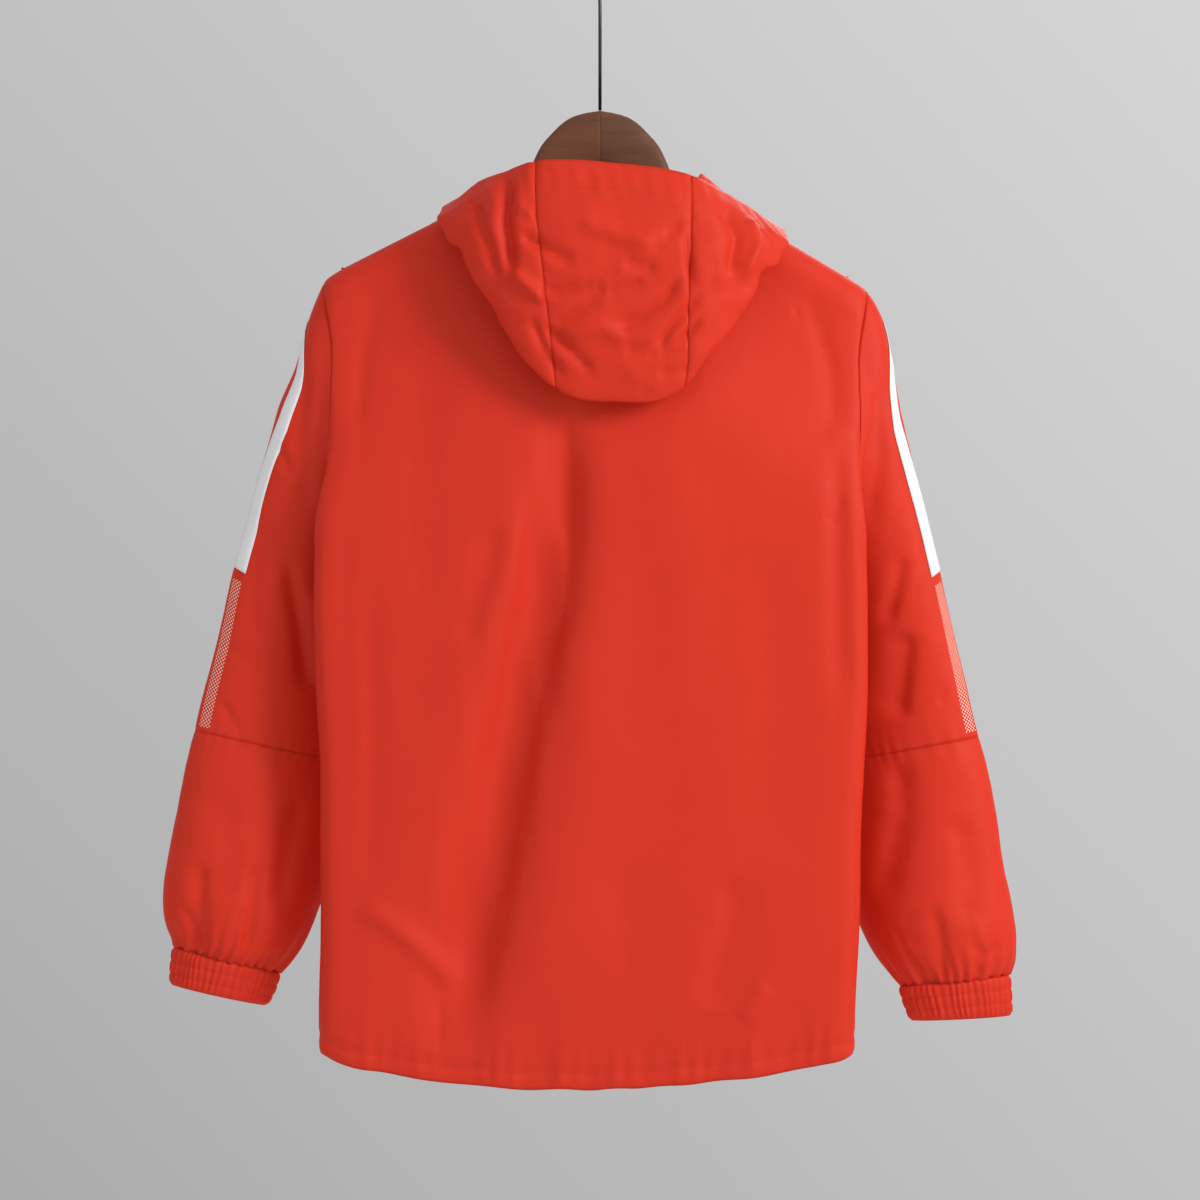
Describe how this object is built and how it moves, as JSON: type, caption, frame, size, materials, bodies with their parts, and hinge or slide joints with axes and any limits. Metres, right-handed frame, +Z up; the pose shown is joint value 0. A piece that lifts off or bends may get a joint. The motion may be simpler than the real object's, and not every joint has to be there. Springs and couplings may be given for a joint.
{
  "type": "hooded windbreaker on hanger",
  "caption": "Light hooded zip jacket with striped sleeves and gathered cuffs, hanging open-bodied on a wooden hanger with a wire hook.",
  "frame": {"origin": "the hang point: the highest point inside the hook's bend, where a rail carries it", "axes": "+Z up, the jacket's front faces -Y, the wearer's left is +X"},
  "size_m": [0.7463, 0.1674, 1.0004],
  "materials": {
    "red nylon": "light woven nylon with a soft sheen",
    "white tape": "matt woven tape",
    "red zip tape": "matt woven tape",
    "zip metal": "satin",
    "brown wood": "satin varnish",
    "hook wire": "dark wire"
  },
  "bodies": {
    "garment_and_hanger": {"back": "red nylon", "front_left": "red nylon", "front_right": "red nylon", "zip": "red zip tape", "zip_slider": "zip metal", "upper_sleeve_left": "red nylon", "upper_sleeve_right": "red nylon", "lower_sleeve_left": "red nylon", "lower_sleeve_right": "red nylon", "cuff_left": "red nylon", "cuff_right": "red nylon", "stripe_left": "white tape", "stripe_right": "white tape", "hood_centre": "red nylon", "hood_side_left": "red nylon", "hood_side_right": "red nylon", "hanger_arm_left": "brown wood", "hanger_arm_right": "brown wood", "hanger_hook": "hook wire"},
    "pull_tab": {"zip_pull": "zip metal"}
  },
  "joints": [
    {"name": "zip_pull_swing", "type": "hinge", "parent": "garment_and_hanger", "child": "pull_tab", "pos_m": [0, -0.03464, -0.259], "axis": [-1, 0, 0], "range_deg": [0, 150]}
  ]
}
